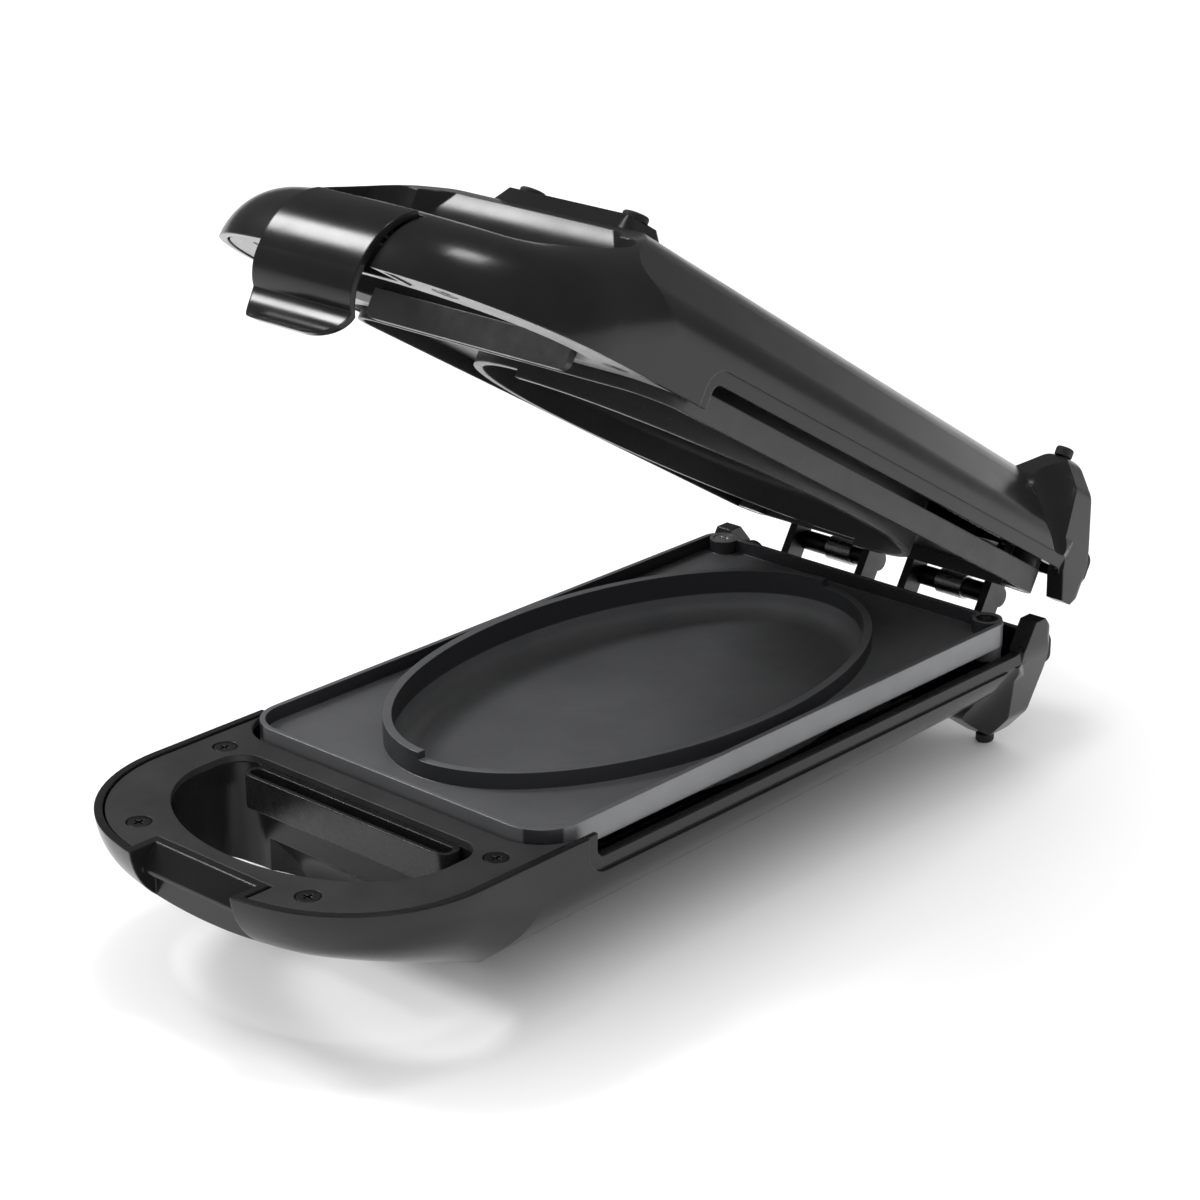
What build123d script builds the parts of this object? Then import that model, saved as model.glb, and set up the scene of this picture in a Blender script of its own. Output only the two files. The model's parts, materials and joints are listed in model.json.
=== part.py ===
from build123d import *
import os
from math import asin, atan2, cos, radians, sin, sqrt, tan

# Hinged sandwich maker with an oval mould, in millimetres.
# Each half is drawn in the frame of the base tray: X to the right, Y to the rear, Z up, with y = 0 at the
# tray's front edge and z = 0 at the top of its rim. Depth below the rim is a negative z.
# The lid's pieces are drawn the same way, then mirrored in the parting plane and swung open.

# Tray with its oval ring
tray_width = 130.0
tray_length = 229.0
tray_corner_r = 14.0
tray_rear_r = 5.0
tray_skirt = 8.4
tray_rim = 1.8
tray_floor_drop = 4.6
tray_plate = 2.6
ring_side_gap = 8.0
ring_front_gap = 15.0
ring_rear_gap = 18.0
ring_wall = 3.0
ring_high = 3.2
ring_low = 0.8
dish_depth = 13.0
dish_edge_r = 6.0
boss_side_gap = 7.0
boss_back = 3.0
boss_r = 5.2
boss_depth = 14.0

# Housing, outside
side_gap = 5.5
rear_gap = 19.0
body_depth = 46.4
bottom_slope = 1.05
wall = 2.5
front_arc_r = 130.0
corner_arc_r = 50.0
rear_corner_r = 4.0
handle_front_y = -84.0
handle_depth = 25.0
handle_round = 24.0
rim_drop = 3.0
shoulder_side_depth = 24.0
shoulder_run = 28.2
shoulder_side_r = 15.0
side_ease = 0.01
shoulder_flat_r = 30.0
ridge_y = 3.0
ridge_r = 12.0
bend_y = -51.0
bend_r = 40.0
ramp_overlap = 24.0
rear_edge_r = 9.0
rear_wall_drop = 10.0

# Side slot that shows the tray, and the ears behind it
slot_front_y = 18.0
slot_depth = 11.2
slot_end_r = 3.0
band_recess = 1.0
band_height = 4.4
lip_thickness = 3.2
ear_gap = 2.0
ear_lean = 6.0
ear_top_drop = 1.6
ear_slope_length = 5.5
ear_end_drop = 8.0
ear_width = 6.5

# Horn feet at the rear corners, sizes in x measured from the housing's side
horn_inner = 30.5
horn_root_depth = 38.0
horn_tip_inner = 27.0
horn_tip_outer = 19.0
horn_knee = 9.5
horn_knee_depth = 40.0
horn_brow_depth = 12.0
horn_drop = 4.2
horn_foot_r = 3.0
horn_knee_r = 8.0
horn_brow_r = 20.0
horn_front_length = 25.0
horn_crest_length = 7.5
horn_front_r = 6.0
horn_crest_r = 8.0
horn_heel_r = 3.0

# Hollow in front of each horn, a cone that widens downwards
hollow_length = 21.5
hollow_top_depth = 8.0
hollow_top_reach = 7.0
hollow_top_r = 2.0
hollow_lean_x = 15.5
hollow_lean_y = 6.0
hollow_height = 52.0
hollow_growth = 22.0

# Grip hole and latch notch
grip_inset = 18.0
grip_arc_depth = 36.5
grip_arc_centre_y = -27.0
grip_rear_y = -11.0
grip_corner_r = 9.0
scoop_inset = 10.0
scoop_start_depth = 30.0
scoop_top_y = -4.0
scoop_hollow = 1.6
scoop_corner_r = 13.0
notch_half_width = 21.5
notch_back_y = -72.0
nose_y = -77.5
nose_depth = 9.5
nose_lip = 1.2
notch_undercut_y = -73.0
latch_recess_y = -69.5
latch_recess_depth = 19.5

# Platform and feet
platform_half_length = 28.4
platform_width = 22.0
platform_height = 5.2
platform_taper = 34.0
platform_corner_r = 5.0
foot_y = 16.0
foot_x = 21.0
foot_r = 4.2
foot_height = 2.2
foot_edge_r = 0.8
horn_pad_back = 5.0
horn_pad_length = 6.5
horn_pad_width = 6.0
rest_pad_inset = 7.0
rest_pad_width = 9.0
rest_pad_height = 13.0
rest_pad_thickness = 3.0
rest_pad_z = -15.5
pad_edge_r = 1.0

# Handle plate
plate_thickness = 2.2
plate_gap = 0.8
plate_recess = 0.4
plate_tray_gap = 2.5
plate_rear_y = 14.0
screw_back_inset = 12.3
screw_back_y = -12.9
screw_front_x = 36.3
screw_front_y = -66.0
recess_r = 4.0
recess_depth = 1.5

# Screws
screw_head_r = 3.5
screw_head_height = 1.3
screw_shank_r = 1.5
screw_length = 9.0
tray_screw_length = 20.0
cross_length = 3.6
cross_width = 0.8
cross_depth = 0.8
post_r = 4.0
slim_post_r = 3.0
front_post_x = 48.0
front_post_y = 10.0
pan_post_x = 30.0
pan_post_front_y = 62.0
pan_post_rear_y = 170.0
fit = 0.1

# Channel of the base and shield bar of the lid
channel_half_length = 44.0
channel_width = 7.5
channel_wall = 1.5
channel_top = 5.6
channel_depth = 11.0
channel_y = -15.8
bar_half_length = 41.0
bar_thickness = 2.6
bar_top = 8.0
bar_reach = 1.2
bar_foot = 3.0

# Lid position and hinge
gap = 4.4
hinge_back = 8.0
hinge_drop = 23.0
lid_rest_angle = 30.8
pin_r = 2.5
pin_fit = 0.05
eye_r = 5.5
arm_outer_x = 44.4
arm_inner_x = 8.0
arm_thickness = 3.0
arm_width = 9.0
barrel_back = 16.0
barrel_rise = 19.0
barrel_r = 3.5
sleeve_r = 4.3
sleeve_low_x = 19.0
sleeve_high_x = 30.0
arm_foot_depth = 14.0
arm_foot_thickness = 2.5
arm_foot_length = 14.0
arm_slot_gap = 0.9
arm_slot_drop = 31.0
bracket_gap = 0.4
bracket_thickness = 2.5
bracket_half_length = 8.0
bracket_rise = 5.0
arm_screw_pitch = 12.0
bracket_screw_length = 8.0
pin_overhang = 1.2

# Latch
cover_half_width = 20.0
cover_proud = 0.7
cover_thickness = 2.2
cover_top_angle = 65.0
cover_seam_angle = 69.0
cover_fold_y = -81.0
cover_fold_reach = 10.4
tongue_y = -88.5
tongue_reach = 20.0
tongue_sag = 1.4
tongue_round = 11.0
hook_reach = 15.8
hook_height = 2.2
hook_tip_y = -77.9
hook_root_y = -82.0
hook_half_width = 10.0
latch_pin_y = -74.0
latch_pin_depth = 14.6
latch_pin_r = 1.5
latch_eye_r = 2.6
latch_lug_x = 10.0
latch_lug_width = 3.0
latch_cheek_gap = 0.4
latch_cheek_width = 2.5
spring_r = 2.4

# Heater and electrics
heater_r = 3.2
heater_half_width = 34.0
heater_front_y = 42.0
heater_rear_gap = 45.0
heater_bend_r = 16.0
heater_turn_r = 9.5
heater_lead_x = 14.0
heater_lead_length = 24.0
heater_gap = 0.2
terminal_r = 1.2
terminal_length = 8.0
clamp_width = 9.0
clamp_thickness = 1.2
clamp_front_y = 80.0
clamp_rear_y = 146.0
reflector_depth = 27.0
reflector_thickness = 0.8
reflector_half_width = 50.0
reflector_front_y = 24.0
reflector_rear_gap = 33.0
reflector_lip = 5.0
thermostat_r = 8.0
thermostat_height = 7.0
thermostat_y = 120.0
fuse_r = 2.2
fuse_length = 22.0
fuse_y = 80.0
block_size = (30.0, 14.0, 11.0)
block_back = 10.0
block_hole_pitch = 9.0
block_hole_r = 2.0
block_hole_depth = 4.0
wire_r = 1.3
loose_wire_rise = 4.0
bush_r = 5.0
bush_flange_r = 7.0
bush_bore_r = 3.2
bush_tip_r = 4.4
bush_length = 12.0
bush_z = -26.5

# Sizes that follow from the others
tray_half = tray_width / 2
body_half_width = tray_half + side_gap
body_rear_y = tray_length + rear_gap
shoulder_flat_half = body_half_width - shoulder_run
ring_half_width = tray_half - ring_side_gap
ring_half_length = (tray_length - ring_front_gap - ring_rear_gap) / 2
ring_centre_y = ring_front_gap + ring_half_length
ear_front_y = tray_length + ear_gap
ear_slope_y = body_rear_y - ear_slope_length
ear_inner_x = body_half_width - ear_width
grip_half_width = body_half_width - grip_inset
horn_depth = body_depth + horn_drop
heater_rear_y = tray_length - heater_rear_gap
heater_lead_y = heater_rear_y + heater_lead_length
reflector_rear_y = tray_length - reflector_rear_gap
block_y = tray_length - block_back
pivot_y = tray_length + hinge_back
pivot_z = -hinge_drop
platform_depth = body_depth + platform_height
stand_depth = platform_depth + foot_height
plate_top = -(rim_drop + plate_recess)
plate_bottom = plate_top - plate_thickness
horn_pad_x = body_half_width - (horn_tip_inner + horn_tip_outer) / 2
heater_z = -(dish_depth + tray_plate + heater_gap + heater_r)
reach = 400.0
open_top = 30.0


def yz_prism(face, x_low, x_high):
    return extrude(Plane.YZ.offset(x_low) * face, amount=x_high - x_low)


def xz_prism(face, y_low, y_high):
    return extrude(Plane.XZ.offset(-y_high) * face, amount=y_high - y_low)


def xy_prism(face, z_low, z_high):
    return extrude(Plane.XY.offset(z_low) * face, amount=z_high - z_low)


def box(x_low, x_high, y_low, y_high, z_low, z_high):
    size = (x_high - x_low, y_high - y_low, z_high - z_low)
    centre = ((x_low + x_high) / 2, (y_low + y_high) / 2, (z_low + z_high) / 2)
    return Pos(*centre) * Box(*size)


def both_sides(shape):
    return shape + shape.mirror(Plane.YZ)


def x_rod(radius, x_low, x_high, y, z):
    return Pos((x_low + x_high) / 2, y, z) * Rot(0, 90, 0) * Cylinder(radius, x_high - x_low)


def z_rod(radius, x, y, z_low, z_high):
    return Pos(x, y, (z_low + z_high) / 2) * Cylinder(radius, z_high - z_low)


def plan_face(inset, rear_y):
    # Side walls straight, front corners and front edge as tangent arcs.
    half = body_half_width - inset
    corner_x = body_half_width - corner_arc_r
    front_y = handle_front_y + front_arc_r
    span = front_arc_r - corner_arc_r
    corner_y = front_y - sqrt(span ** 2 - corner_x ** 2)
    turn = asin(corner_x / span)
    mid_turn = (turn + radians(90)) / 2
    meet = ((front_arc_r - inset) * sin(turn), front_y - (front_arc_r - inset) * cos(turn))
    corner_mid = (corner_x + (corner_arc_r - inset) * sin(mid_turn),
                  corner_y - (corner_arc_r - inset) * cos(mid_turn))
    tip = (0, handle_front_y + inset)
    rear_r = rear_corner_r - inset
    rear_mid = rear_r * (1 - sqrt(0.5))
    lines = Line((0, rear_y), (half - rear_r, rear_y))
    lines += ThreePointArc((half - rear_r, rear_y), (half - rear_mid, rear_y - rear_mid),
                           (half, rear_y - rear_r))
    lines += Line((half, rear_y - rear_r), (half, corner_y))
    lines += ThreePointArc((half, corner_y), corner_mid, meet)
    front_mid = ((front_arc_r - inset) * sin(turn / 2), front_y - (front_arc_r - inset) * cos(turn / 2))
    lines += ThreePointArc(meet, front_mid, tip)
    lines += Line(tip, (0, rear_y))
    right = make_face(lines)
    return right + right.mirror(Plane.YZ)


def rounded(points, radii, inset=0.0):
    face = make_face(FilletPolyline(*points, radius=radii, close=True))
    return offset(face, -inset) if inset else face


def bottom_rise(y):
    return (y - ridge_y) * tan(radians(bottom_slope))


def section_prism(inset):
    # Across the body, tilted so that its bottom rises towards the rear.
    half, flat = body_half_width + side_ease, shoulder_flat_half
    points = [(-half, open_top), (half, open_top), (half, -shoulder_side_depth), (flat, -body_depth),
              (-flat, -body_depth), (-half, -shoulder_side_depth)]
    radii = [0, 0, shoulder_side_r, shoulder_flat_r, shoulder_flat_r, shoulder_side_r]
    tilt = Axis((0, ridge_y, 0), (1, 0, 0))
    return xz_prism(rounded(points, radii, inset), -reach, reach).rotate(tilt, bottom_slope)


def floor_at(y):
    return wall - body_depth + bottom_rise(y)


def side_face(inset):
    # Flat bottom and ridge; further forward it leaves the bottom to the handle block.
    step_y = ridge_y - ramp_overlap
    rear_z = bottom_rise(body_rear_y) - body_depth
    points = [(body_rear_y, open_top), (body_rear_y, rear_z), (ridge_y, -body_depth),
              (step_y, -ramp_depth(step_y)), (step_y, -reach), (-reach, -reach), (-reach, open_top)]
    return rounded(points, [0, rear_edge_r, ridge_r, 0, 0, 0, 0], inset)


def ramp_depth(y):
    slope = (body_depth - handle_depth) / (ridge_y - bend_y)
    return handle_depth + slope * (y - bend_y)


def handle_block(inset):
    # The handle's flat underside bends into a ramp, and one round runs along the lower edge of both.
    points = [(-reach, open_top), (-reach, -handle_depth), (bend_y, -handle_depth),
              (body_rear_y, -ramp_depth(body_rear_y)), (body_rear_y, open_top)]
    block = xy_prism(plan_face(inset, reach), -reach, open_top)
    block &= yz_prism(rounded(points, [0, 0, bend_r, 0, 0], inset), -reach, reach)
    lowest = block.edges().filter_by(lambda edge: edge.center().Z < -(handle_depth - inset) + fit)
    folds = lowest.filter_by(Axis.X)
    block = fillet(lowest.filter_by(lambda edge: edge not in folds), handle_round - inset)
    return block & xy_prism(plan_face(inset, body_rear_y - inset), -reach, open_top)


def scoop(grow):
    # Between the arms of the handle, the rear wall of the grip hole leans back below the plate.
    foot = (grip_rear_y, -scoop_start_depth)
    top = (scoop_top_y, -body_depth)
    middle = ((foot[0] + top[0]) / 2 + scoop_hollow, (foot[1] + top[1]) / 2 + scoop_hollow / 2)
    low_corner, front_corner = (scoop_top_y, -reach), (-reach, -reach)
    lines = ThreePointArc(foot, middle, top) + Line(top, low_corner) + Line(low_corner, front_corner)
    lines += Line(front_corner, (-reach, -scoop_start_depth)) + Line((-reach, -scoop_start_depth), foot)
    profile = make_face(lines)
    half = grip_half_width - scoop_inset + grow
    front = grip_arc_centre_y - grow
    plan = [(-half, front), (half, front), (half, scoop_top_y + grow), (-half, scoop_top_y + grow)]
    corner = scoop_corner_r + grow
    cut = yz_prism(offset(profile, grow) if grow else profile, -half, half)
    return cut & xy_prism(rounded(plan, [0, 0, corner, corner]), -reach, 0)


def horn(inset):
    side = body_half_width
    across = [(side - horn_inner, 0), (side - horn_inner, -horn_root_depth),
              (side - horn_tip_inner, -horn_depth), (side - horn_tip_outer, -horn_depth),
              (side - horn_knee, -horn_knee_depth), (side, -horn_brow_depth), (side, 0)]
    across_radii = [0, horn_foot_r, horn_foot_r, horn_knee_r, horn_knee_r, horn_brow_r, 0]
    front = body_rear_y - horn_front_length
    back = body_rear_y
    along = [(front, 0), (front, -horn_root_depth), (back - horn_crest_length, -horn_depth),
             (back, -horn_depth), (back, 0)]
    along_radii = [0, horn_front_r, horn_crest_r, horn_heel_r, 0]
    solid = yz_prism(rounded(along, along_radii, inset), 0, reach)
    solid &= xz_prism(rounded(across, across_radii, inset), 0, reach)
    return solid & xy_prism(plan_face(inset, back - inset), -reach, 0)


def hollow(grow):
    top = Vector(body_half_width + hollow_top_reach, body_rear_y - hollow_length, -hollow_top_depth)
    foot = top - Vector(hollow_lean_x, hollow_lean_y, hollow_height)
    axis = foot - top
    place = Plane(origin=(top + foot) / 2, z_dir=axis)
    narrow = hollow_top_r + grow
    return place * Cone(narrow, narrow + hollow_growth, axis.length)


def grip_face(grow):
    half = grip_half_width + grow
    depth = grip_arc_depth + grow
    rear = grip_rear_y + grow
    arc = EllipticalCenterArc((0, grip_arc_centre_y), half, depth, start_angle=180, arc_size=180)
    corner = grip_corner_r + grow
    bend = 1 - sqrt(0.5)
    lines = arc + Line((half, grip_arc_centre_y), (half, rear - corner))
    lines += ThreePointArc((half, rear - corner), (half - corner * bend, rear - corner * bend),
                           (half - corner, rear))
    lines += Line((half - corner, rear), (corner - half, rear))
    lines += ThreePointArc((corner - half, rear), (corner * bend - half, rear - corner * bend),
                           (-half, rear - corner))
    lines += Line((-half, rear - corner), (-half, grip_arc_centre_y))
    return make_face(lines)


def notch(grow, is_lid):
    # The base notch has a ramp that ends in a nose for the latch to hook under; the lid's is plain.
    front = handle_front_y - wall
    bottom = -(handle_depth + wall)
    if is_lid:
        # Its upper edge is radial to the rounded front, like the seam of the cover that fills it.
        centre_y = handle_front_y + handle_round
        centre_z = handle_round - handle_depth
        slope = tan(radians(cover_seam_angle))
        seam_y = centre_y + (latch_recess_depth + centre_z) / -slope
        end_y = centre_y + (centre_z - bottom) / -slope
        points = [(front, open_top), (latch_recess_y, open_top), (latch_recess_y, -latch_recess_depth),
                  (seam_y, -latch_recess_depth), (end_y, bottom), (front, bottom)]
    else:
        lip_z = -nose_depth - nose_lip
        points = [(front, open_top), (notch_back_y, open_top), (notch_back_y, -rim_drop),
                  (nose_y, -nose_depth), (nose_y, lip_z), (notch_undercut_y, lip_z),
                  (notch_undercut_y, bottom), (front, bottom)]
    face = make_face(Polyline(*points, close=True))
    half = notch_half_width + grow
    return yz_prism(offset(face, grow, kind=Kind.INTERSECTION) if grow else face, -half, half)


def open_shell(is_lid):
    # Everything that is hollow in the housing follows from its outside and one wall.
    shapes = []
    for inset in (0.0, wall):
        body = handle_block(inset) & section_prism(inset) & yz_prism(side_face(inset), -reach, reach)
        body = body - scoop(inset) + both_sides(horn(inset))
        shapes.append(body - both_sides(hollow(inset)) - notch(inset, is_lid))
    return shapes


def top_cut():
    # The housing's upper edge: rim of the handle, side slot, rear wall and ears.
    cut = box(-reach, reach, -reach, slot_front_y, -rim_drop, reach)
    slot = [(slot_front_y, reach), (slot_front_y, -slot_depth), (ear_front_y, -slot_depth),
            (ear_front_y, reach)]
    cut += yz_prism(rounded(slot, [0, slot_end_r, slot_end_r, 0]), -reach, reach)
    cut += box(-ear_inner_x, ear_inner_x, ear_front_y - fit, reach, -rear_wall_drop, reach)
    ear = [(ear_front_y - fit, -slot_depth), (ear_front_y + ear_lean, -ear_top_drop),
           (ear_slope_y, -ear_top_drop), (body_rear_y, -ear_end_drop), (reach, -ear_end_drop),
           (reach, reach), (ear_front_y - fit, reach)]
    return cut + yz_prism(make_face(Polyline(*ear, close=True)), -reach, reach)


def ears():
    depth = slot_depth + band_height + ear_end_drop
    points = [(ear_front_y, 0), (body_rear_y, 0), (body_rear_y, -depth), (ear_front_y, -depth)]
    return both_sides(yz_prism(make_face(Polyline(*points, close=True)), ear_inner_x, body_half_width))


def lips():
    low = body_half_width - band_recess - lip_thickness
    high = body_half_width - band_recess
    return both_sides(box(low, high, slot_front_y - band_height, ear_front_y + wall,
                          -slot_depth - band_height, -slot_depth))


def band():
    front, low = slot_front_y - band_height, -slot_depth - band_height
    points = [(front, open_top), (front, low), (ear_front_y, low), (ear_front_y, open_top)]
    face = rounded(points, [0, slot_end_r + band_height, 0, 0])
    return both_sides(yz_prism(face, body_half_width - band_recess, reach))


def platform():
    height = platform_height + wall
    spread = 2 * wall * tan(radians(platform_taper))
    corner_r = platform_corner_r + spread / 2
    face = RectangleRounded(2 * platform_half_length + spread, platform_width + spread, corner_r)
    start = Pos(0, foot_y, -body_depth + wall) * Rot(180, 0, 0)
    return extrude(start * face, amount=height, taper=platform_taper)


def screw(length=screw_length):
    # Drawn with the top of its head at the origin, pointing down.
    head = z_rod(screw_head_r, 0, 0, -screw_head_height, 0)
    shank = z_rod(screw_shank_r, 0, 0, -length, -screw_head_height)
    bar_x = box(-cross_length / 2, cross_length / 2, -cross_width / 2, cross_width / 2, -cross_depth, fit)
    bar_y = box(-cross_width / 2, cross_width / 2, -cross_length / 2, cross_length / 2, -cross_depth, fit)
    return head + shank - bar_x - bar_y


def group(shapes):
    return Compound([solid for shape in shapes for solid in shape.solids()])


def screws_at(places, length=screw_length):
    return group([Pos(*place) * screw(length) for place in places])


screw_back_x = body_half_width - screw_back_inset
handle_screw_xy = [(screw_back_x, screw_back_y), (-screw_back_x, screw_back_y),
                   (screw_front_x, screw_front_y), (-screw_front_x, screw_front_y)]
boss_x = tray_half - boss_side_gap
boss_y = tray_length - boss_back
boss_xy = [(-boss_x, boss_y), (boss_x, boss_y)]
bracket_foot_z = floor_at(pivot_y) + bracket_rise
arm_screw_x = (arm_inner_x + arm_outer_x - arm_screw_pitch) / 2
arm_screw_xy = [(sign * (arm_screw_x + step), pivot_y) for sign in (-1, 1) for step in (0, arm_screw_pitch)]


def posts(places, radius, top, hole_r=0.0, hole_depth=screw_length):
    solids = [z_rod(radius, x, y, -body_depth - platform_height, top) for x, y in places]
    holes = [z_rod(hole_r, x, y, top - hole_depth, top + fit) for x, y in places] if hole_r else []
    return solids, holes


def housing(is_lid):
    outer, inner = open_shell(is_lid)
    shank_hole = screw_shank_r + pin_fit
    handle_posts, handle_holes = posts(handle_screw_xy, post_r, plate_bottom - fit, shank_hole)
    tray_posts, tray_holes = posts(boss_xy, post_r, -boss_depth - fit, shank_hole)
    rest_top = -(tray_floor_drop + tray_plate + fit)
    front_xy = [(-front_post_x, front_post_y), (front_post_x, front_post_y)]
    front_posts, _ = posts(front_xy, slim_post_r, rest_top)
    pan_xy = [(x, y) for x in (-pan_post_x, pan_post_x) for y in (pan_post_front_y, pan_post_rear_y)]
    pan_posts, _ = posts(pan_xy, slim_post_r, -reflector_depth - fit)
    if is_lid:
        foot_bottom = -arm_foot_depth - arm_foot_thickness
        hinge_posts, hinge_holes = posts(arm_screw_xy, post_r, foot_bottom - fit, shank_hole)
    else:
        foot_bottom = bracket_foot_z
        hinge_posts, hinge_holes = posts(arm_screw_xy, post_r, foot_bottom - fit, shank_hole, bracket_rise)
    collar = xy_prism(grip_face(wall), -reach, plate_bottom - fit)
    inside = collar
    for post in handle_posts + tray_posts + front_posts + pan_posts + hinge_posts:
        inside += post
    shell = outer - inner + platform() + ((inside + ears()) & outer) + lips()
    shell = shell - xy_prism(grip_face(0), -reach, reach) - top_cut() - band()
    for hole in handle_holes + tray_holes + hinge_holes:
        shell -= hole
    if is_lid:
        lugs = both_sides(box(latch_lug_x, latch_lug_x + latch_lug_width, latch_pin_y, latch_recess_y + fit,
                              -latch_pin_depth - latch_eye_r, -latch_pin_depth + latch_eye_r))
        lug_end = latch_lug_x + latch_lug_width
        lugs += both_sides(x_rod(latch_eye_r, latch_lug_x, lug_end, latch_pin_y, -latch_pin_depth))
        lugs -= x_rod(latch_pin_r + pin_fit, -reach, reach, latch_pin_y, -latch_pin_depth)
        shell += lugs
    else:
        for low in (arm_inner_x, arm_outer_x - arm_thickness):
            high = low + arm_thickness
            shell -= both_sides(box(low - arm_slot_gap, high + arm_slot_gap, body_rear_y - 2 * wall, reach,
                                    -arm_slot_drop, reach))
        shell -= Pos(0, body_rear_y, bush_z) * Rot(90, 0, 0) * Cylinder(bush_r + pin_fit, 4 * wall)
    return shell


def handle_plate(is_lid):
    rim_gap = wall + plate_gap
    plate = xy_prism(plan_face(rim_gap, plate_rear_y), plate_bottom, plate_top)
    plate -= xy_prism(tray_outline(plate_tray_gap), -reach, reach)
    plate -= xy_prism(grip_face(0), -reach, reach)
    back = latch_recess_y if is_lid else notch_back_y
    half = notch_half_width + rim_gap
    plate -= box(-half, half, -reach, back + rim_gap, -reach, reach)
    for x, y in handle_screw_xy:
        plate -= z_rod(recess_r, x, y, plate_top - recess_depth, reach)
        plate -= z_rod(screw_shank_r + pin_fit, x, y, -reach, reach)
    return plate


def tray_outline(grow):
    half = tray_half + grow
    points = [(-half, -grow), (half, -grow), (half, tray_length + grow), (-half, tray_length + grow)]
    front = tray_corner_r + grow
    rear = tray_rear_r + grow
    return rounded(points, [front, front, rear, rear])


def ring_face(grow):
    return Pos(0, ring_centre_y) * Ellipse(ring_half_width + grow, ring_half_length + grow)


def tray(high_side):
    body = xy_prism(tray_outline(0), -tray_skirt, 0)
    body -= xy_prism(tray_outline(-tray_rim), -tray_floor_drop, reach)
    body -= xy_prism(tray_outline(-tray_rim), -reach, -tray_floor_drop - tray_plate)
    body += xy_prism(ring_face(ring_wall / 2), -dish_depth - tray_plate, ring_low)
    high = xy_prism(ring_face(ring_wall / 2), -tray_floor_drop, ring_high)
    body += high & box(min(0, high_side * reach), max(0, high_side * reach), -reach, reach, -reach, reach)
    dish = xy_prism(ring_face(-ring_wall / 2), -dish_depth, reach)
    floor_edge = dish.edges().filter_by_position(Axis.Z, -dish_depth - fit, -dish_depth + fit)
    body -= fillet(floor_edge, dish_edge_r)
    for x, y in boss_xy:
        body += z_rod(boss_r, x, y, -boss_depth, 0)
        body -= z_rod(screw_head_r + 2 * fit, x, y, -fit - screw_head_height, reach)
        body -= z_rod(screw_shank_r + pin_fit, x, y, -reach, reach)
    return body


def heater():
    y_back, y_front, x_side = heater_rear_y, heater_front_y, heater_half_width
    left = [(-heater_lead_x, heater_lead_y, heater_z), (-heater_lead_x, y_back, heater_z),
            (-x_side, y_back, heater_z), (-x_side, y_front, heater_z)]
    points = left + [(-x, y, z) for x, y, z in reversed(left)]
    turn, bend = heater_turn_r, heater_bend_r
    path = FilletPolyline(*points, radius=[turn, turn, bend, bend, turn, turn])
    tube = sweep(Plane(origin=points[0], z_dir=(0, -1, 0)) * Circle(heater_r), path)
    pin = Rot(90, 0, 0) * Cylinder(terminal_r, terminal_length)
    pin_y = heater_lead_y + terminal_length / 2
    return tube + both_sides(Pos(heater_lead_x, pin_y, heater_z) * pin)


def heater_clamps():
    # Clips whose two legs stand up to the underside of the dish beside the tube.
    top = -(dish_depth + tray_plate) - fit
    room = heater_r + fit
    half = room + clamp_thickness
    blocks = []
    for x in (-heater_half_width, heater_half_width):
        for y in (clamp_front_y, clamp_rear_y):
            front, rear = y - clamp_width / 2, y + clamp_width / 2
            block = box(x - half, x + half, front, rear, heater_z - half, top)
            block -= Pos(x, y, heater_z) * Rot(90, 0, 0) * Cylinder(room, clamp_width + 1)
            block -= box(x - room, x + room, front - 1, rear + 1, heater_z, reach)
            blocks.append(block)
    return group(blocks)


def reflector():
    low, high = -reflector_depth, -reflector_depth + reflector_thickness
    half = reflector_half_width
    front, rear = reflector_front_y, reflector_rear_y
    pan = box(-half, half, front, rear, low, high)
    pan += both_sides(box(half - reflector_thickness, half, front, rear, low, high + reflector_lip))
    return pan + box(-half, half, front, front + reflector_thickness, low, high + reflector_lip)


def wire(points, bend=3.0):
    path = FilletPolyline(*points, radius=bend)
    start = Vector(*points[0])
    heading = Vector(*points[1]) - start
    return sweep(Plane(origin=start, z_dir=heading) * Circle(wire_r), path)


def thermostat():
    top = -(dish_depth + tray_plate) - fit
    return z_rod(thermostat_r, 0, thermostat_y, top - thermostat_height, top)


def thermal_fuse():
    z = -(dish_depth + tray_plate) - fit - fuse_r
    body = x_rod(fuse_r, -fuse_length / 2, fuse_length / 2, fuse_y, z)
    return body + x_rod(terminal_r, -fuse_length / 2 - 3, fuse_length / 2 + 3, fuse_y, z)


def wiring(with_block):
    run_z = -reflector_depth + reflector_thickness + wire_r + 0.6
    under = -(dish_depth + tray_plate) - fit - thermostat_height - fit
    low = floor_at(block_y + block_size[1] / 2) + (block_size[2] if with_block else loose_wire_rise) + fit
    solids = []
    for x, y, top in ((-5.0, thermostat_y + 4.0, under), (5.0, fuse_y + 2.0, heater_z - fit)):
        points = [(x, block_y - 4.0, low + 2 * wire_r), (x, reflector_rear_y + 8.0, run_z),
                  (x, y + 8.0, run_z), (x, y, top - wire_r)]
        solids.append(wire(points))
    for x in (-heater_lead_x, heater_lead_x):
        points = [(x, heater_lead_y + terminal_length + fit, heater_z), (x, block_y + 3.0, heater_z),
                  (x, block_y + 3.0, low)]
        solids.append(wire(points, 2.5))
    return group(solids)


def terminal_block():
    width, length, height = block_size
    low = floor_at(block_y + length / 2)
    block = box(-width / 2, width / 2, block_y - length / 2, block_y + length / 2, low, low + height)
    for x in (-block_hole_pitch, 0, block_hole_pitch):
        block -= z_rod(block_hole_r, x, block_y, low + height - block_hole_depth, reach)
    return block


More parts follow.
